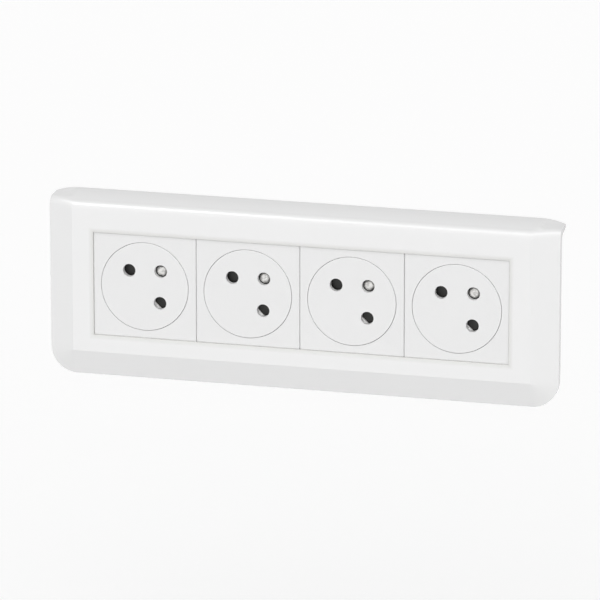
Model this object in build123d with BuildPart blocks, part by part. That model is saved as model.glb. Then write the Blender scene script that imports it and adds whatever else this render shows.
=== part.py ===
from build123d import *
from math import hypot, sqrt
import os

os.makedirs("parts", exist_ok=True)

# Four flush wall sockets side by side behind one rimmed plate. All sizes are in mm.
# The wall is the plane Y = 0, the front faces -Y, +X runs to the right and +Z up.
# The origin lies on the wall, behind the middle of the row. A height is a distance
# in front of the wall, so what goes into the wall box has a negative height.

# Pins of the plug
pin_spacing = 19.0
earth_offset = 10.0
pin_hole_radius = 2.75
earth_pin_radius = 2.4
earth_pin_recess = 1.0
earth_pin_tip_radius = 1.2

# Disc that fills the socket and is pushed in by the plug
disc_radius = 19.0
disc_rise = 0.2
disc_thickness = 2.3
disc_gap = 0.2
disc_travel = 13.5
disc_edge = 0.15
stop_width = 0.7
stop_wall = 2.4
stop_gap = 0.2

# Shutter behind the pin holes, and the cover that holds it in the disc
shutter_thickness = 2.0
shutter_gap = 0.15
shutter_travel = 5.8
shutter_overlap = 0.45
shutter_short_edge = 2.35
shutter_margin = 0.35
shutter_arm_height = 3.4
shutter_waist = 4.0
shutter_waist_height = 1.1
shutter_ramp_depth = 1.1
cover_thickness = 1.2
cover_gap = 0.2
guide_wall = 1.0

# Square face around each disc
face_thickness = 2.0
face_corner = 0.5
face_edge = 0.3
skirt_wall = 0.9
skirt_depth = 3.5
skirt_gap = 0.2
leg_width = 6.0
leg_length = 3.4
barb_height = 0.7
barb_length = 1.2
barb_gap = 0.1

# Housing in the wall box
running_gap = 0.25
well_wall = 1.15
floor_thickness = 2.0
floor_gap = 0.3
pin_passage_radius = 3.0
chamber_depth = 14.6
rear_cover_thickness = 2.0
spigot_depth = 2.6
spigot_wall = 1.2
collar_corner = 2.0
lug_width = 12.0
lug_reach = 3.4
lug_thickness = 2.0

# Return spring of the disc
spring_radius = 3.2
spring_wire = 0.7
spring_turns = 3.5
spring_end_width = 0.8
spring_pocket_depth = 7.5
spring_pocket_gap = 0.65
spring_pocket_wall = 0.9
spigot_radius = 2.4
spigot_height = 1.5

# Return springs of the shutter
leaf_thickness = 0.3
leaf_width = 1.5
leaf_span = 4.2
leaf_folds = 5

# Contacts and terminals
clip_width = 5.0
clip_length = 10.0
clip_sheet = 0.8
clip_mouth = 2.9
clip_throat = 2.15
clip_foot = 2.6
clip_clearance = 0.6
terminal_gap = 1.2
terminal_margin = 2.5
riser_gap = 0.5
cell_gap = 0.2
cell_wall = 1.0
cell_depth = 6.4
post_size = 4.0
rivet_radius = 1.5
rivet_flange = 3.5
terminal_screw_radius = 1.25
terminal_screw_length = 4.8
terminal_head_radius = 2.6
terminal_head_height = 1.8
terminal_opening_length = 9.0
terminal_opening_shift = 0.5
terminal_slot_width = 0.8
terminal_slot_depth = 0.8
terminal_opening_width = 5.8
fit_gap = 0.1

# Plate
socket_count = 4
insert_gap = 0.2
insert_recess = 1.0
window_gap = 0.1
window_corner = 0.5
window_edge = 1.6
plate_front = 15.0
plate_wall = 2.2
side_flat = 9.05
bottom_flat = 7.3
top_flat = 12.4
bevel_width = 11.2
bevel_depth = 4.8
face_corner_radius = 0.3
roll_radius = 3.5
lip_rise = 2.8
lip_droop = 1.9
lip_droop_run = 10.3
lip_edge = 1.3
rim_thickness = 3.0
rim_sweep_radius = 3.0
rim_sweep_rise = 2.0
return_inset = 2.5
return_wall = 1.6
collar_wall = 1.4
collar_seat_gap = 0.3

# Frame that is screwed over the wall box and carries the housings and the plate
frame_thickness = 2.5
frame_border = 11.2
frame_window_gap = 0.45
frame_corner = 4.0
frame_collar_height = 5.2
frame_collar_wall = 1.5
frame_edge_height = 2.4
frame_edge_wall = 1.2
notch_gap = 0.4
plate_clip_width = 8.0
plate_clip_wall = 1.6
plate_clip_spacing = 45.0
plate_clip_gap = 0.2

# Screws that fix the frame
screw_pitch_x = 71.0
screw_pitch_z = 60.0
screw_radius = 1.5
screw_neck_radius = 1.2
screw_length = 24.0
screw_head_radius = 2.8
screw_head_height = 2.0
screw_head_edge = 0.7
screw_slot_length = 8.0
screw_slot_gap = 0.3
drive_slot_width = 0.8
drive_slot_depth = 1.0

# Sizes that follow from the ones above
opening_radius = disc_radius + disc_gap
stop_radius = opening_radius + stop_width
well_radius = stop_radius + running_gap
well_outer = well_radius + well_wall
insert_size = 2 * (well_outer + skirt_gap + skirt_wall)
insert_pitch = insert_size + insert_gap
window_width = socket_count * insert_pitch - insert_gap + 2 * window_gap
window_height = insert_size + 2 * window_gap
plate_half_width = window_width / 2 + side_flat + bevel_width
plate_bottom = window_height / 2 + bottom_flat + bevel_width
brow_height = window_height / 2 + top_flat
lip_height = brow_height + lip_rise
rim_front = plate_front - bevel_depth
rim_rear = rim_front - rim_thickness
collar_rear = frame_thickness + frame_collar_height + collar_seat_gap

insert_front = plate_front - insert_recess
face_rear = insert_front - face_thickness
disc_front = insert_front + disc_rise
disc_rear = disc_front - disc_thickness
stop_front = face_rear - stop_gap
shutter_front = disc_rear - shutter_gap
shutter_rear = shutter_front - shutter_thickness
cover_front = shutter_rear - shutter_gap
cover_rear = cover_front - cover_thickness
floor_front = cover_rear - disc_travel - floor_gap
floor_rear = floor_front - floor_thickness
housing_rear = floor_rear - chamber_depth
pocket_floor = floor_front - spring_pocket_depth
clip_front = floor_rear - clip_clearance
clip_rear = clip_front - clip_length - clip_sheet
strap_front = clip_rear + clip_sheet
half_spacing = pin_spacing / 2
shutter_half_length = half_spacing + pin_hole_radius + shutter_margin
shutter_lower = pin_hole_radius + shutter_overlap
shutter_inner = half_spacing - pin_hole_radius - shutter_margin
guide_inner = shutter_half_length + shutter_gap
leaf_front = shutter_front - (shutter_thickness - leaf_width) / 2
leaf_stop = shutter_arm_height + shutter_travel + 3 * leaf_thickness
stop_inner = stop_radius - stop_wall
frame_window_width = window_width + 2 * frame_window_gap
frame_window_height = window_height + 2 * frame_window_gap
frame_half_width = frame_window_width / 2 + frame_border
frame_half_height = frame_window_height / 2 + frame_border
plate_clip_height = frame_window_height / 2 + frame_collar_wall + plate_clip_gap + plate_clip_wall / 2
leg_rear = face_rear - skirt_depth - leg_length
barb_root = insert_size / 2 - skirt_wall
cell_wall_offset = clip_mouth + clip_sheet + cell_gap + cell_wall / 2
spigot_outer = well_radius - cover_gap
terminal_distance = spigot_outer - spigot_wall - terminal_gap - terminal_head_radius
terminal_v = -sqrt(terminal_distance**2 - half_spacing**2)
strap_reach = terminal_margin - terminal_v
earth_reach = earth_offset + rivet_flange + riser_gap
socket_centres = [(number - (socket_count - 1) / 2) * insert_pitch for number in range(socket_count)]


def front_plane(height):
    """Plane parallel to the wall that faces the room, with X to the right and Z up."""
    return Plane.XZ.offset(height)


def pin_plane(height):
    """The same plane turned 45 degrees: x runs from live to neutral, y towards the earth pin."""
    return Plane(origin=(0, -height, 0), x_dir=(1, 0, -1), z_dir=(0, -1, 0))


def pin_section(offset):
    """Section through the live and neutral pins: x along that line, y the height above the wall."""
    return Plane(origin=(offset, 0, offset), x_dir=(1, 0, -1), z_dir=(-1, 0, -1))


def earth_section():
    """Section through the earth pin: x towards the earth pin, y the height above the wall."""
    return Plane(origin=(0, 0, 0), x_dir=(1, 0, 1), z_dir=(1, 0, -1))


def plate_form(inset):
    """Outer form of the plate, drawn in by inset: three bevelled sides and a top rolled back."""
    slant = hypot(bevel_width, bevel_depth)
    run = bevel_width - inset * (1 - (slant - bevel_width) / bevel_depth)
    drop = bevel_depth - inset * (1 - (slant - bevel_depth) / bevel_width)
    half_width = plate_half_width - inset
    run_end = plate_half_width - lip_droop_run
    bottom = plate_bottom - inset
    front = plate_front - inset
    roof_drop = inset * hypot(plate_front, lip_rise) / plate_front
    roof_front = brow_height + lip_rise * inset / plate_front - roof_drop
    roof_rear = lip_height - roof_drop
    end_height = roof_rear - lip_droop
    top = 2 * roof_rear
    beyond = 2 * top

    with BuildPart() as form:
        with BuildSketch(front_plane(0)) as outline:
            with Locations((0, (top - bottom) / 2)):
                Rectangle(2 * half_width, top + bottom)
            fillet(outline.vertices().group_by(Axis.Y)[0], run + face_corner_radius)
        extrude(amount=front)
        front_face = form.faces().sort_by(Axis.Y)[0]
        bevelled = front_face.edges().sort_by(Axis.Z)[:-1]
        chamfer(bevelled, run, drop, reference=front_face)
        # the roof slopes up to the wall, and at each end its rear edge bends down
        with BuildSketch(Plane.YZ):
            Polygon((-front, beyond), (-front, roof_front), (0, roof_rear), (0, beyond), align=None)
        extrude(amount=run_end, both=True, mode=Mode.SUBTRACT)
        for side in (1, -1):
            with BuildSketch(front_plane(front)):
                Polygon(
                    (side * run_end, roof_front), (side * half_width, roof_front),
                    (side * half_width, beyond), (side * run_end, beyond), align=None,
                )
            with BuildSketch(front_plane(0)):
                with BuildLine():
                    TangentArc((side * run_end, roof_rear), (side * half_width, end_height), tangent=(side, 0))
                    Polyline(
                        (side * half_width, end_height), (side * half_width, beyond),
                        (side * run_end, beyond), (side * run_end, roof_rear),
                    )
                make_face()
            loft(ruled=True, mode=Mode.SUBTRACT)
        # the brow is rolled, from end to end across the bevels
        brow = form.edges().filter_by_position(Axis.Y, -front, drop - front)
        brow = brow.filter_by_position(Axis.Z, roof_front - roll_radius, roof_rear)
        fillet(brow, roll_radius - inset)
    return form.part


plate_outer = plate_form(0)
plate_inner = plate_form(plate_wall)

with BuildPart() as plate:
    add(plate_outer)
    add(plate_inner, mode=Mode.SUBTRACT)
    # the side walls stop short of the wall and sweep back only under the lip
    with BuildSketch(Plane.YZ) as sweep_back:
        under_lip = lip_height - lip_droop - lip_edge
        Polygon(
            (0, -2 * plate_bottom), (-rim_rear, -2 * plate_bottom),
            (-rim_rear, under_lip - rim_sweep_rise), (0, under_lip), align=None,
        )
        corner = sweep_back.vertices().group_by(Axis.X)[0].sort_by(Axis.Y)[-1]
        fillet(corner, rim_sweep_radius)
    extrude(amount=plate_half_width, both=True, mode=Mode.SUBTRACT)
    # a return wall, set in from the rim, closes the plate down to the wall
    return_half = plate_half_width - return_inset
    return_bottom = plate_bottom - return_inset
    return_top = lip_height - lip_droop - lip_edge
    return_radius = bevel_width + face_corner_radius - return_inset
    with BuildSketch(front_plane(0)) as return_ring:
        with Locations((0, (return_top - return_bottom) / 2)):
            Rectangle(2 * return_half, return_top + return_bottom)
        fillet(return_ring.vertices().group_by(Axis.Y)[0], return_radius)
        with BuildSketch(mode=Mode.SUBTRACT) as return_inner:
            with Locations((0, (return_top - return_bottom + return_wall) / 2)):
                Rectangle(2 * (return_half - return_wall), return_top + return_bottom - return_wall)
            fillet(return_inner.vertices().group_by(Axis.Y)[0], return_radius - return_wall)
    extrude(amount=rim_front)
    # collar round the window, which rests on the frame
    with BuildSketch(front_plane(collar_rear)):
        Rectangle(window_width + 2 * collar_wall, window_height + 2 * collar_wall)
    extrude(amount=plate_front - plate_wall - collar_rear)
    with BuildSketch(front_plane(0)):
        RectangleRounded(window_width, window_height, window_corner)
    extrude(amount=plate_front, mode=Mode.SUBTRACT)
    window_rim = plate.faces().filter_by(Axis.Y).sort_by(Axis.Y)[0].inner_wires()[0].edges()
    fillet(window_rim, window_edge)
    # clips that reach back to the frame, above and below the window
    with BuildSketch(front_plane(frame_thickness + fit_gap)):
        with GridLocations(plate_clip_spacing, 2 * plate_clip_height, socket_count - 1, 2):
            Rectangle(plate_clip_width, plate_clip_wall)
    extrude(amount=plate_front - plate_wall - frame_thickness - fit_gap)
plate.part.label = "plate"
export_step(plate.part, "parts/plate.step")

with BuildPart() as support_frame:
    with BuildSketch(front_plane(0)):
        RectangleRounded(2 * frame_half_width, 2 * frame_half_height, frame_corner)
    extrude(amount=frame_thickness)
    # raised edge that stiffens the frame
    with BuildSketch(front_plane(frame_thickness)):
        RectangleRounded(2 * frame_half_width, 2 * frame_half_height, frame_corner)
        RectangleRounded(
            2 * (frame_half_width - frame_edge_wall), 2 * (frame_half_height - frame_edge_wall),
            frame_corner - frame_edge_wall, mode=Mode.SUBTRACT,
        )
    extrude(amount=frame_edge_height)
    # collar round the window, notched where the lugs of the housings rest
    with BuildSketch(front_plane(frame_thickness)):
        Rectangle(frame_window_width + 2 * frame_collar_wall, frame_window_height + 2 * frame_collar_wall)
        with GridLocations(insert_pitch, frame_window_height + frame_collar_wall, socket_count, 2):
            Rectangle(lug_width + 2 * notch_gap, 2 * lug_reach, mode=Mode.SUBTRACT)
    extrude(amount=frame_collar_height)
    with BuildSketch(front_plane(0)):
        Rectangle(frame_window_width, frame_window_height)
        with GridLocations(screw_pitch_x, screw_pitch_z, 3, 2):
            SlotOverall(screw_slot_length, 2 * (screw_radius + screw_slot_gap))
    extrude(amount=frame_thickness + frame_collar_height, mode=Mode.SUBTRACT)
support_frame.part.label = "support_frame"
export_step(support_frame.part, "parts/support_frame.step")

# One screw along Z, its head resting on the plane Z = 0
with BuildPart() as screw:
    Cylinder(screw_head_radius, screw_head_height, align=(Align.CENTER, Align.CENTER, Align.MIN))
    chamfer(screw.edges().sort_by(Axis.Z)[-1], screw_head_edge)
    Cylinder(screw_neck_radius, frame_thickness, align=(Align.CENTER, Align.CENTER, Align.MAX))
    with BuildSketch(Plane.XY.offset(-frame_thickness)):
        Circle(screw_radius)
    extrude(amount=frame_thickness - screw_length)
    with BuildSketch(Plane.XY.offset(screw_head_height)):
        Rectangle(2 * screw_head_radius, drive_slot_width)
    extrude(amount=-drive_slot_depth, mode=Mode.SUBTRACT)

seat = front_plane(frame_thickness).location
screw_places = GridLocations(screw_pitch_x, screw_pitch_z, 3, 2).locations
fixing_screws = Compound([screw.part.moved(seat * place) for place in screw_places])
fixing_screws.label = "fixing_screws"
export_step(fixing_screws, "parts/fixing_screws.step")

# The pieces of one socket, centred on X = 0
with BuildPart() as face:
    with BuildSketch(front_plane(insert_front)):
        RectangleRounded(insert_size, insert_size, face_corner)
    extrude(amount=-face_thickness)
    chamfer(face.faces().sort_by(Axis.Y)[0].edges(), face_edge)
    with BuildSketch(front_plane(face_rear)):
        RectangleRounded(insert_size, insert_size, face_corner)
        Rectangle(insert_size - 2 * skirt_wall, insert_size - 2 * skirt_wall, mode=Mode.SUBTRACT)
    extrude(amount=-skirt_depth)
    # two legs, each with a barb that snaps into the housing
    with BuildSketch(front_plane(face_rear)):
        with GridLocations(0, insert_size - skirt_wall, 1, 2):
            Rectangle(leg_width, skirt_wall)
    extrude(amount=leg_rear - face_rear)
    with BuildSketch(Plane.YZ):
        Polygon(
            (-leg_rear, barb_root), (-leg_rear - barb_length, barb_root),
            (-leg_rear - barb_length, barb_root - barb_height), align=None,
        )
        mirror(about=Plane.XZ)
    extrude(amount=leg_width / 2, both=True)
    with BuildSketch(front_plane(insert_front)):
        Circle(opening_radius)
    extrude(amount=-face_thickness, mode=Mode.SUBTRACT)

with BuildPart() as disc:
    with BuildSketch(Plane.XY):
        Polygon(
            (0, -disc_front), (disc_radius, -disc_front), (disc_radius, -stop_front),
            (stop_radius, -stop_front), (stop_radius, -cover_rear), (stop_inner, -cover_rear),
            (stop_inner, -disc_rear), (0, -disc_rear), align=None,
        )
    revolve(axis=Axis.Y)
    chamfer(disc.faces().sort_by(Axis.Y)[0].edges(), disc_edge)
    # rails along the shutter, its stop, and the posts behind its springs
    with BuildSketch(pin_plane(disc_rear)):
        with Locations((guide_inner + guide_wall / 2, 0), (-guide_inner - guide_wall / 2, 0)):
            Rectangle(guide_wall, 2 * leaf_stop)
        with Locations((half_spacing, leaf_stop + guide_wall / 2), (-half_spacing, leaf_stop + guide_wall / 2)):
            Rectangle(2 * (guide_inner + guide_wall - half_spacing), guide_wall)
        with Locations((0, -shutter_lower - shutter_gap - guide_wall / 2)):
            Rectangle(shutter_half_length, guide_wall)
    extrude(amount=cover_front - disc_rear)
    with BuildSketch(pin_plane(disc_front)):
        with Locations((-half_spacing, 0), (half_spacing, 0), (0, earth_offset)):
            Circle(pin_hole_radius)
    extrude(amount=-disc_thickness, mode=Mode.SUBTRACT)

with BuildPart() as shutter:
    with BuildSketch(pin_plane(shutter_front)):
        Polygon(
            (-shutter_half_length, -shutter_lower), (shutter_inner, -shutter_lower),
            (shutter_inner, -shutter_short_edge), (shutter_half_length, -shutter_short_edge),
            (shutter_half_length, shutter_arm_height), (shutter_waist, shutter_arm_height),
            (shutter_waist, shutter_waist_height), (-shutter_waist, shutter_waist_height),
            (-shutter_waist, shutter_arm_height), (-shutter_half_length, shutter_arm_height), align=None,
        )
    extrude(amount=-shutter_thickness)
    # the front slopes back towards the lower edge, so that a pin pushes the shutter aside
    with BuildSketch(earth_section()):
        Polygon(
            (shutter_arm_height, shutter_front), (-shutter_lower, shutter_front),
            (-shutter_lower, shutter_front - shutter_ramp_depth), align=None,
        )
    extrude(amount=shutter_half_length, both=True, mode=Mode.SUBTRACT)

with BuildPart() as shutter_cover:
    with BuildSketch(pin_plane(cover_front)):
        Circle(stop_inner - cover_gap)
        with Locations((-half_spacing, 0), (half_spacing, 0), (0, earth_offset)):
            Circle(pin_passage_radius, mode=Mode.SUBTRACT)
    extrude(amount=-cover_thickness)
    with BuildSketch(pin_plane(cover_rear)):
        Circle(spigot_radius)
    extrude(amount=-spigot_height)

with BuildPart() as shutter_springs:
    with BuildSketch(pin_plane(leaf_front)):
        fold_rise = (leaf_stop - shutter_arm_height - 2 * fit_gap - leaf_thickness) / leaf_folds
        fold_start = shutter_arm_height + fit_gap + leaf_thickness / 2
        with BuildLine():
            Polyline(*[
                (half_spacing + (-1) ** fold * leaf_span / 2, fold_start + fold * fold_rise)
                for fold in range(leaf_folds + 1)
            ])
        trace(line_width=leaf_thickness)
        mirror(about=Plane.YZ)
    extrude(amount=-leaf_width)

with BuildPart() as disc_spring:
    spring_length = cover_rear - pocket_floor - 2 * fit_gap - spring_wire
    coil_start = fit_gap + spring_wire / 2 - cover_rear
    with BuildLine():
        coil = Helix(spring_length / spring_turns, spring_length, spring_radius, (0, coil_start, 0), (0, 1, 0))
    with BuildSketch(Plane(coil @ 0, z_dir=coil % 0)):
        Rectangle(spring_wire, spring_wire)
    sweep(is_frenet=True)
    # the end turns are closed and lie flat
    for height in (cover_rear - fit_gap, pocket_floor + fit_gap + spring_wire):
        with BuildSketch(pin_plane(height)):
            Circle(spring_radius + spring_end_width / 2)
            Circle(spring_radius - spring_end_width / 2, mode=Mode.SUBTRACT)
        extrude(amount=-spring_wire)

with BuildPart() as earth_pin:
    with BuildSketch(Plane.XY) as pin_profile:
        Polygon(
            (0, earth_pin_recess - insert_front), (earth_pin_radius, earth_pin_recess - insert_front),
            (earth_pin_radius, -floor_rear), (rivet_flange, -floor_rear),
            (rivet_flange, clip_sheet - floor_rear), (rivet_radius, clip_sheet - floor_rear),
            (rivet_radius, 3 * clip_sheet - floor_rear), (0, 3 * clip_sheet - floor_rear), align=None,
        )
        tip = pin_profile.vertices().group_by(Axis.Y)[0].sort_by(Axis.X)[-1]
        fillet(tip, earth_pin_tip_radius)
    revolve(axis=Axis.Y)
earth_place = Location(pin_plane(0).from_local_coords((0, earth_offset, 0)))
earth_pin_part = earth_pin.part.moved(earth_place)

with BuildPart() as earth_strap:
    strap_height = floor_rear - clip_sheet
    strap_edge = earth_offset - rivet_flange
    riser = earth_reach + clip_sheet
    with BuildSketch(earth_section()):
        Polygon(
            (strap_edge, strap_height), (riser, strap_height), (riser, clip_rear), (strap_edge, clip_rear),
            (strap_edge, strap_front), (earth_reach, strap_front), (earth_reach, strap_height - clip_sheet),
            (strap_edge, strap_height - clip_sheet), align=None,
        )
    extrude(amount=clip_width / 2, both=True)
    for height, hole_radius in ((strap_height, rivet_radius), (strap_front, terminal_screw_radius)):
        with BuildSketch(pin_plane(height)):
            with Locations((0, earth_offset)):
                Circle(hole_radius + fit_gap)
        extrude(amount=-clip_sheet, mode=Mode.SUBTRACT)

with BuildPart() as neutral_contact:
    with BuildSketch(pin_section(0)):
        throat_height = clip_front - clip_length / 4
        with Locations((half_spacing, 0)):
            for side in (1, -1):
                Polygon(
                    (side * clip_mouth, clip_front), (side * (clip_mouth + clip_sheet), clip_front),
                    (side * (clip_throat + clip_sheet), throat_height),
                    (side * (clip_foot + clip_sheet), clip_rear), (0, clip_rear),
                    (0, strap_front), (side * clip_foot, strap_front),
                    (side * clip_throat, throat_height), align=None,
                )
    extrude(amount=clip_width / 2, both=True)
    with BuildSketch(pin_plane(strap_front)):
        with Locations((half_spacing, -(clip_width / 2 + strap_reach) / 2)):
            Rectangle(clip_width, strap_reach - clip_width / 2)
        with Locations((half_spacing, terminal_v)):
            Circle(terminal_screw_radius + fit_gap, mode=Mode.SUBTRACT)
    extrude(amount=-clip_sheet)
live_contact_part = mirror(neutral_contact.part, about=Plane(origin=(0, 0, 0), z_dir=(1, 0, -1)))

with BuildPart() as well_body:
    with BuildSketch(front_plane(face_rear)):
        RectangleRounded(2 * well_outer, 2 * well_outer, collar_corner)
    extrude(amount=frame_thickness - face_rear)
    # lugs that rest on the frame above and below its window
    with BuildSketch(front_plane(frame_thickness)):
        Rectangle(lug_width, 2 * (well_outer + lug_reach))
    extrude(amount=lug_thickness)
    with BuildSketch(front_plane(frame_thickness)):
        Circle(well_outer)
    extrude(amount=housing_rear - frame_thickness)
    with BuildSketch(front_plane(face_rear)):
        Circle(well_radius)
    extrude(amount=floor_front - face_rear, mode=Mode.SUBTRACT)
    with BuildSketch(front_plane(floor_rear)):
        Circle(well_radius)
    extrude(amount=housing_rear - floor_rear, mode=Mode.SUBTRACT)
    # pockets that take the barbs of the face
    with BuildSketch(front_plane(leg_rear + barb_length + barb_gap)):
        with GridLocations(0, 2 * well_outer, 1, 2):
            Rectangle(leg_width + 2 * skirt_gap, 2 * (well_outer - barb_root + barb_height + barb_gap))
    extrude(amount=-barb_length - 2 * barb_gap, mode=Mode.SUBTRACT)
    # cell walls beside the contact clips
    with BuildSketch(pin_plane(floor_rear)):
        with GridLocations(pin_spacing, 0, 2, 1):
            with GridLocations(2 * cell_wall_offset, 0, 2, 1):
                Rectangle(cell_wall, cell_depth)
    extrude(amount=strap_front - floor_rear)
    # pocket of the disc's spring
    with BuildSketch(front_plane(floor_rear)):
        Circle(spring_radius + spring_wire / 2 + spring_pocket_gap + spring_pocket_wall)
    extrude(amount=pocket_floor - spring_pocket_wall - floor_rear)
    with BuildSketch(front_plane(floor_front)):
        Circle(spring_radius + spring_wire / 2 + spring_pocket_gap)
    extrude(amount=-spring_pocket_depth, mode=Mode.SUBTRACT)
    with BuildSketch(pin_plane(floor_front)):
        with Locations((-half_spacing, 0), (half_spacing, 0)):
            Circle(pin_passage_radius)
        with Locations((0, earth_offset)):
            Circle(earth_pin_radius + fit_gap)
    extrude(amount=-floor_thickness, mode=Mode.SUBTRACT)

with BuildPart() as rear_cover:
    with BuildSketch(pin_plane(housing_rear)):
        Circle(well_outer)
    extrude(amount=-rear_cover_thickness)
    with BuildSketch(pin_plane(housing_rear)):
        Circle(spigot_outer)
        Circle(spigot_outer - spigot_wall, mode=Mode.SUBTRACT)
    extrude(amount=spigot_depth)
    # posts that press the contacts against their cells
    with BuildSketch(pin_plane(housing_rear)):
        with GridLocations(pin_spacing, 0, 2, 1):
            Rectangle(post_size, post_size)
    extrude(amount=clip_rear - fit_gap - housing_rear)
    # openings for the wires and the terminal screws
    with BuildSketch(pin_plane(housing_rear)):
        with GridLocations(pin_spacing, 0, 2, 1):
            with Locations((0, terminal_v + terminal_opening_shift)):
                SlotOverall(terminal_opening_length, terminal_opening_width, rotation=90)
        with Locations((0, earth_offset)):
            SlotOverall(terminal_opening_length, terminal_opening_width)
    extrude(amount=-rear_cover_thickness, mode=Mode.SUBTRACT)

# One terminal screw along Z: its head presses on the strap at Z = 0 from below
with BuildPart() as terminal_screw:
    Cylinder(terminal_screw_radius, terminal_screw_length, align=(Align.CENTER, Align.CENTER, Align.MIN))
    Cylinder(terminal_head_radius, terminal_head_height, align=(Align.CENTER, Align.CENTER, Align.MAX))
    with BuildSketch(Plane.XY.offset(-terminal_head_height)):
        Rectangle(2 * terminal_head_radius, terminal_slot_width)
    extrude(amount=terminal_slot_depth, mode=Mode.SUBTRACT)
terminal_places = [(-half_spacing, terminal_v), (half_spacing, terminal_v), (0, earth_offset)]
terminal_screws = Compound([
    terminal_screw.part.moved(pin_plane(clip_rear).location * Location((u, v, 0))) for u, v in terminal_places
])

socket_pieces = {
    "face": face.part,
    "disc": disc.part,
    "shutter": shutter.part,
    "shutter_cover": shutter_cover.part,
    "shutter_springs": shutter_springs.part,
    "disc_spring": disc_spring.part,
    "earth_pin": earth_pin_part,
    "earth_strap": earth_strap.part,
    "neutral_contact": neutral_contact.part,
    "live_contact": live_contact_part,
    "well_body": well_body.part,
    "rear_cover": rear_cover.part,
    "terminal_screws": terminal_screws,
}

for number, centre in enumerate(socket_centres, start=1):
    for name, piece in socket_pieces.items():
        copy = piece.moved(Location((centre, 0, 0)))
        copy.label = f"{name}_{number}"
        export_step(copy, f"parts/{name}_{number}.step")
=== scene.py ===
import bmesh
import bpy
from math import cos, hypot, radians, sin
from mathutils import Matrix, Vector


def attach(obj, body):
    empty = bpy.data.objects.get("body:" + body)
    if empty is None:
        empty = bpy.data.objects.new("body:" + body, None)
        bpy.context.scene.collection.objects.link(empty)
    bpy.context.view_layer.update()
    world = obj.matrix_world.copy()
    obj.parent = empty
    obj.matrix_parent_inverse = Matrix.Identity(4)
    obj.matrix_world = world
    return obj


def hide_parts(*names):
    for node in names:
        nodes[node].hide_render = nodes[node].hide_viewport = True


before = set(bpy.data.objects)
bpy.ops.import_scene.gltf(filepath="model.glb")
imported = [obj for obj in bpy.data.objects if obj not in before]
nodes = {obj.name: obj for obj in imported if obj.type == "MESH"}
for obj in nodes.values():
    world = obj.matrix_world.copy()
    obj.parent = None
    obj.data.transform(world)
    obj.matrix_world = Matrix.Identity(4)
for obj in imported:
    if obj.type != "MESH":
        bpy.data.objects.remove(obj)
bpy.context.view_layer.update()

# The socket's sizes are in mm until Blender gets them in metres. The camera and the studio are set in metres.
# The wall is the plane Y = 0, and the socket faces -Y.
MM = 0.001
SOCKET_PITCH = 45.0
SOCKET_MIDDLES = (-67.5, -22.5, 22.5, 67.5)
DIAGONAL = 0.7071
EARTH_OFFSET = 10.0
EARTH_PIN_PLACE = (EARTH_OFFSET * DIAGONAL, EARTH_OFFSET * DIAGONAL)

# Angles in degrees from which an edge stays sharp: below the 23 of the plate's bevels, and for small pieces
PLATE_SHARP = 17
SMALL_SHARP = 35

# Window of the plate, and the rim round it
WINDOW_HALF = (90.0, 22.5)
WINDOW_CORNER = 0.5
PLATE_FRONT = -15.0
RIM_WIDTH = 1.6
RIM_FALL = 0.2
# RIM_SHADE: width in mm of the painted shade round the window
RIM_SHADE = 1.9
RIM_CLOSING = 0.09

# Roof of the plate: depth and height of its front and rear edge, and the lines across it that are lifted
ROOF_FRONT = (-12.14, 35.43)
ROOF_REAR = (0.0, 37.7)
ROOF_SLOPE = (ROOF_REAR[1] - ROOF_FRONT[1]) / (ROOF_REAR[0] - ROOF_FRONT[0])
ROOF_CUTS = (-11.0, -9.5, -8.0, -6.0, -4.0, -2.5, -1.2)
ROOF_CROWN = 0.48

# White strip on the lower edge of a shutter, along and across the shutter and in depth
STRIP_ALONG = (6.4, 12.5)
STRIP_ACROSS = (-3.15, -2.36)
STRIP_DEPTH = (-11.68, -9.85)
STRIP_EDGE = 0.12

# Fixing screw of the frame
SCREW_COLUMNS = (-71.0, 0.0, 71.0)
SCREW_ROWS = (-30.0, 30.0)
SCREW_SEAT = -2.5
SCREW_END = 21.5
HEAD_RADIUS = 2.8
HEAD_HEIGHT = 2.0
HEAD_EDGE = 0.65
SLOT_WIDTH = 0.8
SLOT_DEPTH = 1.0
CORE_RADIUS = 1.2
CORE_START = SCREW_SEAT - 0.3
TIP_LENGTH = 1.0
TIP_RADIUS = 0.45
THREAD_RADIUS = 1.5
THREAD_ROOT = CORE_RADIUS - 0.05
THREAD_PITCH = 0.8
THREAD_TURNS = 25
THREAD_STEPS = 18
THREAD_RIDGE = ((THREAD_ROOT, 0.0), (THREAD_RADIUS, 0.3), (THREAD_RADIUS, 0.45), (THREAD_ROOT, THREAD_PITCH))

# How near to its line a point lies to be selected, and how near two points lie to be joined
ON_PLANE = 0.01
ON_EDGE = 0.02
ON_STEP = 0.006
ON_ROOF = 0.06
SAME_POINT = 0.002
SAME_THREAD_POINT = 0.005


# Shader graphs

class Signal:
    """The output of one node, which takes part in plain arithmetic."""

    def __init__(self, graph, socket):
        self.graph = graph
        self.socket = socket

    def __add__(self, other):
        return self.graph.calculate("ADD", self, other)

    def __sub__(self, other):
        return self.graph.calculate("SUBTRACT", self, other)

    def __rsub__(self, other):
        return self.graph.calculate("SUBTRACT", other, self)

    def __mul__(self, other):
        return self.graph.calculate("MULTIPLY", self, other)

    def __truediv__(self, other):
        return self.graph.calculate("DIVIDE", self, other)

    __radd__ = __add__


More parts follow.
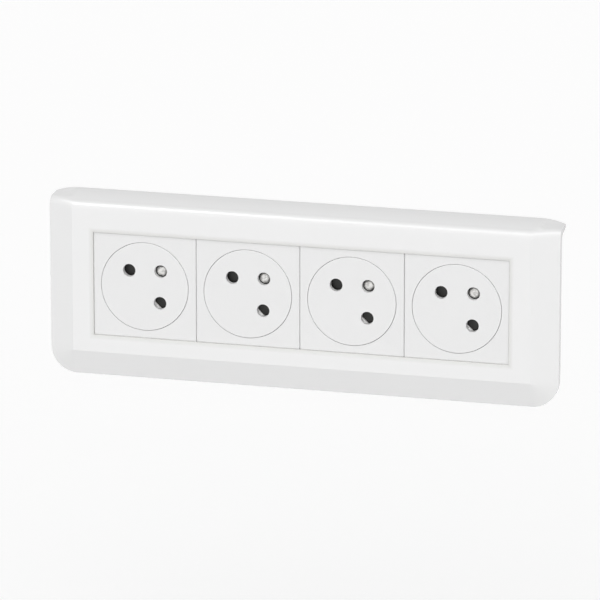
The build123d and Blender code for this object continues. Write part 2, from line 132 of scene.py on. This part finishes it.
class Graph:
    """The node tree of one material or of the world."""

    def __init__(self, owner):
        owner.use_nodes = True
        self.tree = owner.node_tree
        self.tree.nodes.clear()

    def node(self, kind, settings=None, output=0, **values):
        """One node: its settings come first, then the values or links of its sockets, by name or as n0, n1."""
        made = self.tree.nodes.new(kind)
        for key, value in (settings or {}).items():
            setattr(made, key, value)
        for key, value in values.items():
            numbered = key[0] == "n" and key[1:].isdigit()
            socket = made.inputs[int(key[1:]) if numbered else key]
            if isinstance(value, Signal):
                self.tree.links.new(value.socket, socket)
            elif socket.type == "RGBA" and len(value) == 3:
                socket.default_value = (*value, 1.0)
            else:
                socket.default_value = value
        return Signal(self, made.outputs[output]) if made.outputs else made

    def calculate(self, operation, a, b=0.0):
        return self.node("ShaderNodeMath", {"operation": operation}, n0=a, n1=b)

    def arrow(self, operation, a, b=(0.0, 0.0, 0.0), output=0, **values):
        return self.node("ShaderNodeVectorMath", {"operation": operation}, output, n0=a, n1=b, **values)

    def blend(self, factor, a, b):
        """Colour a where factor is 0 and b where it is 1."""
        return self.node("ShaderNodeMix", {"data_type": "RGBA"}, 2, n0=factor, n6=a, n7=b)

    def clamp(self, value):
        return self.node("ShaderNodeClamp", n0=value)

    def seen_or_mirrored(self):
        """1 for rays from the camera, off gloss or through glass, and 0 for light on matt surfaces."""
        camera_ray = self.node("ShaderNodeLightPath", output="Is Camera Ray")
        gloss_ray = self.node("ShaderNodeLightPath", output="Is Glossy Ray")
        glass_ray = self.node("ShaderNodeLightPath", output="Is Transmission Ray")
        return self.calculate("MAXIMUM", self.calculate("MAXIMUM", camera_ray, gloss_ray), glass_ray)


class Finish(Graph):
    """A material, with its point on the surface in mm."""

    def __init__(self, name):
        self.material = bpy.data.materials.new(name)
        super().__init__(self.material)
        place = self.node("ShaderNodeTexCoord", output="Object")
        self.point = self.arrow("SCALE", place, Scale=1 / MM)

    def axis(self, index):
        return self.node("ShaderNodeSeparateXYZ", output=index, n0=self.point)

    def noise(self, size, detail=2.0, roughness=0.5, vector=None):
        """Noise from 0 to 1 whose patches are about size mm wide."""
        return self.node(
            "ShaderNodeTexNoise", {"noise_dimensions": "3D"}, Vector=vector or self.point,
            Scale=1 / size, Detail=detail, Roughness=roughness,
        )

    def stretched(self, along, amount):
        """The point with one axis pressed together, so that a pattern on it runs along that axis."""
        factor = [1.0, 1.0, 1.0]
        factor[along] = 1 / amount
        return self.arrow("MULTIPLY", self.point, tuple(factor))

    def in_socket(self):
        """The point with X measured from the middle of its own socket."""
        x = self.axis(0)
        middle = self.calculate("FLOOR", x / SOCKET_PITCH) * SOCKET_PITCH + SOCKET_PITCH / 2
        return self.node("ShaderNodeCombineXYZ", X=x - middle, Y=self.axis(1), Z=self.axis(2))

    def ring_distance(self, centre, vector):
        """Distance in the plane of the wall from a point at centre (x, z)."""
        flat = self.arrow("MULTIPLY", vector, (1.0, 0.0, 1.0))
        return self.arrow("DISTANCE", flat, (centre[0], 0.0, centre[1]), output="Value")

    def from_window(self):
        """Distance outwards from the edge of the plate's window."""
        beside = self.calculate("ABSOLUTE", self.axis(0)) - WINDOW_HALF[0]
        above = self.calculate("ABSOLUTE", self.axis(2)) - WINDOW_HALF[1]
        return self.calculate("MAXIMUM", beside, above)

    def close(self, colour, roughness, relief, depth, metallic=0.0, ior=1.5):
        """The material, its surface raised by relief, which runs from 0 to 1 and is depth mm deep."""
        shader = self.node("ShaderNodeBsdfPrincipled", **{
            "Base Color": colour, "Roughness": roughness, "Metallic": metallic, "IOR": ior,
            "Normal": self.node("ShaderNodeBump", Height=relief, Distance=depth * MM),
        })
        self.node("ShaderNodeOutputMaterial", Surface=shader)
        return self.material


# Finishes

def moulded_gloss(name, light, dark, painted_shade_colour, roughness):
    """Polished moulded plastic: almost even, with a faint skin of orange peel, and a painted shade that darkens
    it towards the window's edge.
    """
    finish = Finish(name)
    tone = finish.noise(26.0, 3.0)
    flow = finish.noise(3.4, 2.0, vector=finish.stretched(0, 2.0))
    # Painted shade: the colour darkens to a grey within RIM_SHADE mm of the window's edge
    painted_shade = finish.clamp(1 - finish.from_window() / RIM_SHADE)
    colour = finish.blend(painted_shade, finish.blend(tone, light, dark), painted_shade_colour)
    matt = roughness + (finish.noise(9.0, 4.0) - 0.5) * 0.03 + (flow - 0.5) * 0.02
    return finish.close(colour, matt, flow, 0.012, ior=1.46)


def moulded_grain(name, light, dark, roughness, grain, depth):
    """Moulded plastic with the fine spark-eroded grain of its mould."""
    finish = Finish(name)
    tone = finish.noise(18.0, 3.0)
    speck = finish.noise(grain, 3.0, 0.6)
    cloud = finish.noise(1.6, 2.0)
    shade = finish.clamp(tone * 0.8 + speck * 0.35)
    colour = finish.blend(shade, light, dark)
    matt = roughness + (speck - 0.5) * 0.12 + (cloud - 0.5) * 0.05
    return finish.close(colour, matt, speck * 0.7 + cloud * 0.3, depth)


def moulded_housing(name, light, dark, roughness):
    """Plain moulded plastic of a hidden part, with flow marks that spread from its gate."""
    finish = Finish(name)
    from_gate = finish.ring_distance((0.0, 0.0), finish.in_socket())
    swirl = finish.noise(7.0, 2.0)
    flow = finish.calculate("SINE", from_gate * 0.9 + swirl * 5.0) * 0.5 + 0.5
    speck = finish.noise(0.5, 3.0, 0.6)
    colour = finish.blend(finish.clamp(flow * 0.5 + speck * 0.5), light, dark)
    matt = roughness + (flow - 0.5) * 0.06 + (speck - 0.5) * 0.12
    return finish.close(colour, matt, speck, 0.03)


def turned_metal(name, light, dark, roughness, centre):
    """Plated metal, turned round the axis of the pin, with fine rings, and a painted reflection that darkens it
    towards its edge and in blotches.
    """
    finish = Finish(name)
    from_axis = finish.ring_distance(centre, finish.in_socket())
    wander = finish.noise(0.8, 2.0) * 2.0
    rings = finish.calculate("SINE", from_axis * 48.0 + finish.axis(1) * 48.0 + wander) * 0.5 + 0.5
    haze = finish.noise(1.3, 3.0)
    # Painted reflection: the colour darkens towards the edge of the domed tip and in blotches of haze, where the
    # room's dark reflection falls; the rings are the turning marks
    painted_reflection_and_rings = finish.clamp((from_axis - 0.7) / 1.5) * 0.5 + (haze - 0.5) * 2.6 + rings * 0.2 - 0.05
    colour = finish.blend(finish.clamp(painted_reflection_and_rings), light, dark)
    matt = roughness + (haze - 0.5) * 0.1 + rings * 0.04
    return finish.close(colour, matt, rings, 0.002, metallic=1.0)


def rolled_sheet(name, light, dark, roughness):
    """Stamped sheet metal with the grain of its rolling and a little tarnish."""
    finish = Finish(name)
    grain = finish.noise(0.12, 3.0, vector=finish.stretched(1, 14.0))
    tarnish = finish.noise(3.5, 4.0, 0.6)
    colour = finish.blend(finish.clamp(tarnish * 0.8 + grain * 0.3), light, dark)
    matt = roughness + (grain - 0.5) * 0.16 + (tarnish - 0.5) * 0.2
    return finish.close(colour, matt, grain, 0.006, metallic=1.0)


def plated_steel(name, light, dark, roughness):
    """Zinc-plated steel: bright, slightly blue and unevenly hazy."""
    finish = Finish(name)
    haze = finish.noise(1.2, 4.0, 0.65)
    spangle = finish.node("ShaderNodeTexVoronoi", {"feature": "SMOOTH_F1"}, Vector=finish.point, Scale=1.6)
    colour = finish.blend(finish.clamp(haze * 0.7 + spangle * 0.4), light, dark)
    matt = roughness + (haze - 0.5) * 0.2 + spangle * 0.08
    return finish.close(colour, matt, haze, 0.006, metallic=1.0)


def drawn_wire(name, light, dark, roughness):
    """Spring steel drawn to wire, with fine streaks."""
    finish = Finish(name)
    streak = finish.noise(0.15, 3.0, vector=finish.stretched(0, 5.0))
    haze = finish.noise(1.5, 2.0)
    colour = finish.blend(finish.clamp(streak * 0.5 + haze * 0.5), light, dark)
    matt = roughness + (streak - 0.5) * 0.15
    return finish.close(colour, matt, streak, 0.004, metallic=1.0)


# The plate's white, and the grey of the painted shade round its window
plate_white = moulded_gloss(
    "plate_white", (0.862, 0.862, 0.862), (0.848, 0.848, 0.848), (0.750, 0.748, 0.732), 0.055,
)
insert_white = moulded_grain("insert_white", (0.832, 0.832, 0.832), (0.806, 0.806, 0.806), 0.38, 0.22, 0.006)
# The strip's white is brighter than the inserts' white, as painted light against the shade deep in the hole
strip_brightened_white = moulded_grain("strip_brightened_white", (0.93, 0.93, 0.92), (0.90, 0.90, 0.89), 0.35, 0.22, 0.004)
shutter_black = moulded_grain("shutter_black", (0.030, 0.029, 0.028), (0.018, 0.018, 0.017), 0.5, 0.25, 0.02)
cover_black = moulded_grain("cover_black", (0.055, 0.055, 0.054), (0.034, 0.034, 0.033), 0.5, 0.3, 0.02)
housing_grey = moulded_housing("housing_grey", (0.52, 0.52, 0.51), (0.46, 0.46, 0.45), 0.42)
frame_grey = moulded_grain("frame_grey", (0.60, 0.60, 0.585), (0.53, 0.53, 0.515), 0.45, 0.5, 0.02)
# The pin's bright colour, and the dark one of its painted reflection
pin_nickel = turned_metal("pin_nickel", (0.80, 0.79, 0.77), (0.20, 0.20, 0.195), 0.16, EARTH_PIN_PLACE)
contact_brass = rolled_sheet("contact_brass", (0.82, 0.62, 0.34), (0.58, 0.40, 0.20), 0.3)
screw_zinc = plated_steel("screw_zinc", (0.68, 0.70, 0.72), (0.50, 0.52, 0.54), 0.3)
spring_steel = drawn_wire("spring_steel", (0.56, 0.56, 0.57), (0.36, 0.36, 0.37), 0.3)

finish_of = {
    "plate": plate_white, "face": insert_white, "disc": insert_white, "shutter": shutter_black,
    "shutter_cover": cover_black, "well_body": housing_grey, "rear_cover": housing_grey,
    "support_frame": frame_grey, "earth_pin": pin_nickel, "live_contact": contact_brass,
    "neutral_contact": contact_brass, "earth_strap": contact_brass, "terminal_screws": screw_zinc,
    "fixing_screws": screw_zinc, "disc_spring": spring_steel, "shutter_springs": spring_steel,
}
for name, node in nodes.items():
    piece = name.rstrip("1234").rstrip("_")
    node.data.materials.clear()
    node.data.materials.append(finish_of[piece])


# Steps of modelling

def deselect():
    if bpy.context.object and bpy.context.object.mode == "EDIT":
        bpy.ops.object.mode_set(mode="OBJECT")
    bpy.ops.object.select_all(action="DESELECT")


def pick(*pieces):
    """Select these pieces alone, the first of them active."""
    deselect()
    for piece in pieces:
        piece.select_set(True)
    bpy.context.view_layer.objects.active = pieces[0]


def start_edit(piece):
    """Edit mode on one piece, with all of its mesh selected."""
    pick(piece)
    bpy.ops.object.mode_set(mode="EDIT")
    bpy.ops.mesh.select_mode(type="VERT")
    bpy.ops.mesh.select_all(action="SELECT")


def select_points(piece, chosen):
    """Select the points of the mesh for whose place in mm chosen holds."""
    bpy.ops.mesh.select_all(action="DESELECT")
    mesh = bmesh.from_edit_mesh(piece.data)
    for point in mesh.verts:
        point.select_set(bool(chosen(point.co / MM)))
    mesh.select_flush_mode()
    bmesh.update_edit_mesh(piece.data)


def take_on_place():
    """Put the place, turn and scale of the new piece into its mesh, and give the piece."""
    bpy.ops.object.transform_apply(location=True, rotation=True, scale=True)
    return bpy.context.object


def apply_modifier(piece, modifier):
    pick(piece)
    bpy.ops.object.modifier_apply(modifier=modifier.name)


def copy_of(name, piece):
    """A new piece with its own copy of a mesh."""
    copy = bpy.data.objects.new(name, piece.data.copy())
    bpy.context.scene.collection.objects.link(copy)
    return copy


def shifted_copy(name, piece, x, z):
    """A copy of a piece, moved along the wall."""
    copy = copy_of(name, piece)
    start_edit(copy)
    bpy.ops.transform.translate(value=(x * MM, 0.0, z * MM))
    deselect()
    return copy


def smooth(piece, angle):
    """Smooth the edges at which the faces meet at less than an angle in degrees."""
    pick(piece)
    bpy.ops.object.shade_smooth_by_angle(angle=radians(angle))


def from_window(place):
    """Distance outwards from the edge of the plate's window, whose corners are rounded."""
    across = abs(place.x) - WINDOW_HALF[0] + WINDOW_CORNER
    up = abs(place.z) - WINDOW_HALF[1] + WINDOW_CORNER
    return hypot(max(across, 0.0), max(up, 0.0)) + min(max(across, up), 0.0) - WINDOW_CORNER


def on_rim(place):
    """Whether a point lies on the rounded edge of the window."""
    return (
        PLATE_FRONT - ON_PLANE < place.y < PLATE_FRONT + RIM_WIDTH + ON_PLANE
        and -ON_EDGE < from_window(place) < RIM_WIDTH + ON_EDGE
    )


# Plate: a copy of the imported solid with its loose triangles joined

cover_plate = copy_of("cover_plate", nodes["plate"])
start_edit(cover_plate)
bpy.ops.mesh.remove_doubles(threshold=SAME_POINT * MM)
bpy.ops.mesh.customdata_custom_splitnormals_clear()

# The rounded edge of its window becomes a shallow fall, and the window closes a little round the inserts
mesh = bmesh.from_edit_mesh(cover_plate.data)
steps = {round(from_window(point.co / MM), 2) for point in mesh.verts if on_rim(point.co / MM)}
for step in sorted(steps):
    select_points(cover_plate, lambda place: on_rim(place) and abs(from_window(place) - step) < ON_STEP)
    bpy.ops.transform.resize(value=(1.0, 0.0, 1.0), center_override=(0.0, PLATE_FRONT * MM, 0.0))
    fall = RIM_FALL * max(0.0, 1 - step / RIM_WIDTH) ** 2
    bpy.ops.transform.translate(value=(0.0, fall * MM, 0.0))
select_points(cover_plate, lambda place: abs(from_window(place)) < ON_EDGE)
closing = [1 - RIM_CLOSING / half for half in WINDOW_HALF]
bpy.ops.transform.resize(value=(closing[0], 1.0, closing[1]), center_override=(0.0, 0.0, 0.0))

# Its roof is crowned from the rolled edge to the lip
for cut in ROOF_CUTS:
    bpy.ops.mesh.select_all(action="SELECT")
    bpy.ops.mesh.bisect(plane_co=(0.0, cut * MM, 0.0), plane_no=(0.0, 1.0, 0.0))
for cut in ROOF_CUTS:
    height = ROOF_FRONT[1] + (cut - ROOF_FRONT[0]) * ROOF_SLOPE
    select_points(
        cover_plate, lambda place: abs(place.y - cut) < ON_PLANE and abs(place.z - height) < ON_ROOF,
    )
    off_middle = (cut - ROOF_FRONT[0]) / (ROOF_REAR[0] - ROOF_FRONT[0]) * 2 - 1
    bpy.ops.transform.translate(value=(0.0, 0.0, ROOF_CROWN * (1 - off_middle ** 2) * MM))
smooth(cover_plate, PLATE_SHARP)
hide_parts("plate")
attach(cover_plate, "base")

# White strip on the lower edge of each shutter, seen in the lower right hole; its white is raised above the
# inserts' as painted light against the shade of the hole

along, across, depth = (sum(span) / 2 for span in (STRIP_ALONG, STRIP_ACROSS, STRIP_DEPTH))
length, width, thickness = (span[1] - span[0] for span in (STRIP_ALONG, STRIP_ACROSS, STRIP_DEPTH))
deselect()
bpy.ops.mesh.primitive_cube_add(
    size=MM, rotation=(0.0, radians(45), 0.0), scale=(length, thickness, width),
    location=((along + across) * DIAGONAL * MM, depth * MM, (across - along) * DIAGONAL * MM),
)
strip = take_on_place()
start_edit(strip)
bpy.ops.mesh.bevel(offset=STRIP_EDGE * MM, segments=3, affect="EDGES")
smooth(strip, SMALL_SHARP)
strip.data.materials.append(strip_brightened_white)
for number, middle in enumerate(SOCKET_MIDDLES, 1):
    edge = shifted_copy(f"shutter_strip_{number}", strip, middle, 0.0)
    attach(edge, f"shutter_{number}")
bpy.data.objects.remove(strip)


# Fixing screws of the frame, each with a slotted round head and a rolled thread

def round_bar(radius, start, end):
    """A bar round the Y axis from start to end."""
    deselect()
    bpy.ops.mesh.primitive_cylinder_add(
        vertices=32, radius=radius * MM, depth=(end - start) * MM,
        rotation=(radians(90), 0.0, 0.0), location=(0.0, (start + end) / 2 * MM, 0.0),
    )
    return take_on_place()


head_front = SCREW_SEAT - HEAD_HEIGHT
head = round_bar(HEAD_RADIUS, head_front, SCREW_SEAT)
start_edit(head)
select_points(head, lambda place: place.y < head_front + ON_PLANE)
bpy.ops.mesh.bevel(offset=HEAD_EDGE * MM, segments=4, profile=0.5, affect="EDGES")
deselect()
bpy.ops.mesh.primitive_cube_add(
    size=MM, location=(0.0, head_front * MM, 0.0), scale=(2.4 * HEAD_RADIUS, 2 * SLOT_DEPTH, SLOT_WIDTH),
)
slot_cutter = take_on_place()
cut = head.modifiers.new("slot", "BOOLEAN")
cut.operation = "DIFFERENCE"
cut.object = slot_cutter
apply_modifier(head, cut)
bpy.data.objects.remove(slot_cutter)

# The core's end is drawn out to a blunt tip
core_end = SCREW_END - TIP_LENGTH
core = round_bar(CORE_RADIUS, CORE_START, core_end)
start_edit(core)
select_points(core, lambda place: place.y > core_end - ON_PLANE)
bpy.ops.mesh.extrude_region_move(TRANSFORM_OT_translate={"value": (0.0, TIP_LENGTH * MM, 0.0)})
taper = TIP_RADIUS / CORE_RADIUS
bpy.ops.transform.resize(value=(taper, 1.0, taper), center_override=(0.0, 0.0, 0.0))

# The ridge of the thread is drawn from one point, wound round the core and closed at both ends
deselect()
bpy.ops.mesh.primitive_plane_add(size=MM, location=(0.0, 0.0, 0.0))
thread = bpy.context.object
start_edit(thread)
bpy.ops.mesh.merge(type="CENTER")
bpy.ops.transform.translate(value=(THREAD_RIDGE[0][0] * MM, THREAD_RIDGE[0][1] * MM, 0.0))
for (radius, rise), (next_radius, next_rise) in zip(THREAD_RIDGE, THREAD_RIDGE[1:]):
    stride = ((next_radius - radius) * MM, (next_rise - rise) * MM, 0.0)
    bpy.ops.mesh.extrude_vertices_move(TRANSFORM_OT_translate={"value": stride})
turns = thread.modifiers.new("turns", "SCREW")
turns.axis = "Y"
turns.steps = turns.render_steps = THREAD_STEPS
turns.screw_offset = THREAD_PITCH * MM
turns.iterations = THREAD_TURNS
turns.use_merge_vertices = True
turns.merge_threshold = SAME_THREAD_POINT * MM
apply_modifier(thread, turns)
start_edit(thread)
bpy.ops.mesh.remove_doubles(threshold=SAME_THREAD_POINT * MM)
bpy.ops.mesh.select_all(action="SELECT")
bpy.ops.mesh.fill_holes(sides=0)
bpy.ops.mesh.select_all(action="SELECT")
bpy.ops.mesh.quads_convert_to_tris()
bpy.ops.mesh.normals_make_consistent(inside=False)
pick(head, core, thread)
bpy.ops.object.join()

screws = [shifted_copy("frame_screws", head, x, z) for x in SCREW_COLUMNS for z in SCREW_ROWS]
pick(*screws)
bpy.ops.object.join()
frame_screws = bpy.context.object
bpy.data.objects.remove(head)
smooth(frame_screws, SMALL_SHARP)
frame_screws.data.materials.clear()
frame_screws.data.materials.append(screw_zinc)
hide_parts("fixing_screws")
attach(frame_screws, "base")


# Camera: in the room's front right, a little above, with the focal length in pixels of a picture 600 wide

def aim(thing, place, target):
    thing.location = place
    thing.rotation_mode = "QUATERNION"
    thing.rotation_quaternion = (Vector(target) - Vector(place)).to_track_quat("-Z", "Y")


AZIMUTH = radians(15.086)
ELEVATION = radians(15.408)
DISTANCE = 2.2805
LOOKED_AT = Vector((0.000165, -0.014, -0.000979))
FOCAL_PIXELS = 5458.7
PICTURE_PIXELS = 600
SENSOR = 36.0
back = Vector((sin(AZIMUTH) * cos(ELEVATION), -cos(AZIMUTH) * cos(ELEVATION), sin(ELEVATION)))
camera = bpy.data.objects.new("camera", bpy.data.cameras.new("camera"))
bpy.context.scene.collection.objects.link(camera)
camera.data.sensor_width = SENSOR
camera.data.lens = FOCAL_PIXELS / PICTURE_PIXELS * SENSOR
camera.data.clip_start = 0.1
camera.data.clip_end = 30.0
aim(camera, LOOKED_AT + back * DISTANCE, LOOKED_AT)
bpy.context.scene.camera = camera

# Studio: soft light that grows towards the room and upwards, a white backdrop and a pale floor
WHITE = (1.0, 1.0, 1.0)
BACKDROP = 0.9734
TOWARDS_ROOM = (0.12, -0.99, 0.0)
UPWARDS = (0.0, 0.0, 1.0)
ROOM_LIGHT = 3.94
UPPER_LIGHT = 1.80
LIGHT_CUT = 2.05
LOWEST_LIGHT = 0.45
FLOOR_SIZE = 24.0
FLOOR_LEVEL = -0.2
FLOOR_TONE = (0.78, 0.78, 0.78)
FLOOR_GLOW = 0.395
world = bpy.data.worlds.new("studio")
bpy.context.scene.world = world
sky = Graph(world)
direction = sky.node("ShaderNodeTexCoord", output="Generated")
to_room = sky.arrow("DOT_PRODUCT", direction, TOWARDS_ROOM, output="Value")
upwards = sky.arrow("DOT_PRODUCT", direction, UPWARDS, output="Value")
light = sky.calculate("MAXIMUM", to_room * ROOM_LIGHT + upwards * UPPER_LIGHT - LIGHT_CUT, LOWEST_LIGHT)
ambient = sky.node("ShaderNodeBackground", Color=WHITE, Strength=light)
backdrop = sky.node("ShaderNodeBackground", Color=WHITE, Strength=BACKDROP)
studio = sky.node("ShaderNodeMixShader", n0=sky.seen_or_mirrored(), n1=ambient, n2=backdrop)
sky.node("ShaderNodeOutputWorld", Surface=studio)

deselect()
bpy.ops.mesh.primitive_plane_add(size=FLOOR_SIZE, location=(0.0, 0.0, FLOOR_LEVEL))
floor = bpy.context.object
floor.name = "floor"
pale_paper = bpy.data.materials.new("pale_paper")
paper = Graph(pale_paper)
matte = paper.node("ShaderNodeBsdfDiffuse", Color=FLOOR_TONE)
glow = paper.node("ShaderNodeEmission", Color=WHITE, Strength=FLOOR_GLOW)
lifted = paper.node("ShaderNodeAddShader", n0=matte, n1=glow)
surface = paper.node("ShaderNodeMixShader", n0=paper.seen_or_mirrored(), n1=matte, n2=lifted)
paper.node("ShaderNodeOutputMaterial", Surface=surface)
floor.data.materials.append(pale_paper)


# Three lamps that only gloss shows light the rolled edge, each for its own stretch of it
LAMP_SIZE = (1.0, 0.74)
LAMP_POWER = 7.4
LAMP_DISTANCE = 1.6
LAMP_HEIGHT = radians(58.0)


def gloss_lamp(name, aimed, turned):
    """A rectangular lamp aimed at a place, turned round it in degrees to the right of the front."""
    lamp = bpy.data.objects.new(name, bpy.data.lights.new(name, "AREA"))
    bpy.context.scene.collection.objects.link(lamp)
    lamp.data.shape = "RECTANGLE"
    lamp.data.size, lamp.data.size_y = LAMP_SIZE
    lamp.data.energy = LAMP_POWER
    lamp.visible_diffuse = False
    lamp.visible_camera = False
    way = Vector((sin(radians(turned)), -cos(radians(turned)), 0.0)) * cos(LAMP_HEIGHT)
    way.z = sin(LAMP_HEIGHT)
    aim(lamp, aimed + way * LAMP_DISTANCE, aimed)


for name, middle, turned in (("front", -0.41, 0.0), ("left_end", -0.105, -61.0), ("right_end", 0.105, 31.0)):
    gloss_lamp("brow_" + name, Vector((middle, 0.0, 0.0)), turned)

bpy.context.scene.view_settings.view_transform = "Standard"
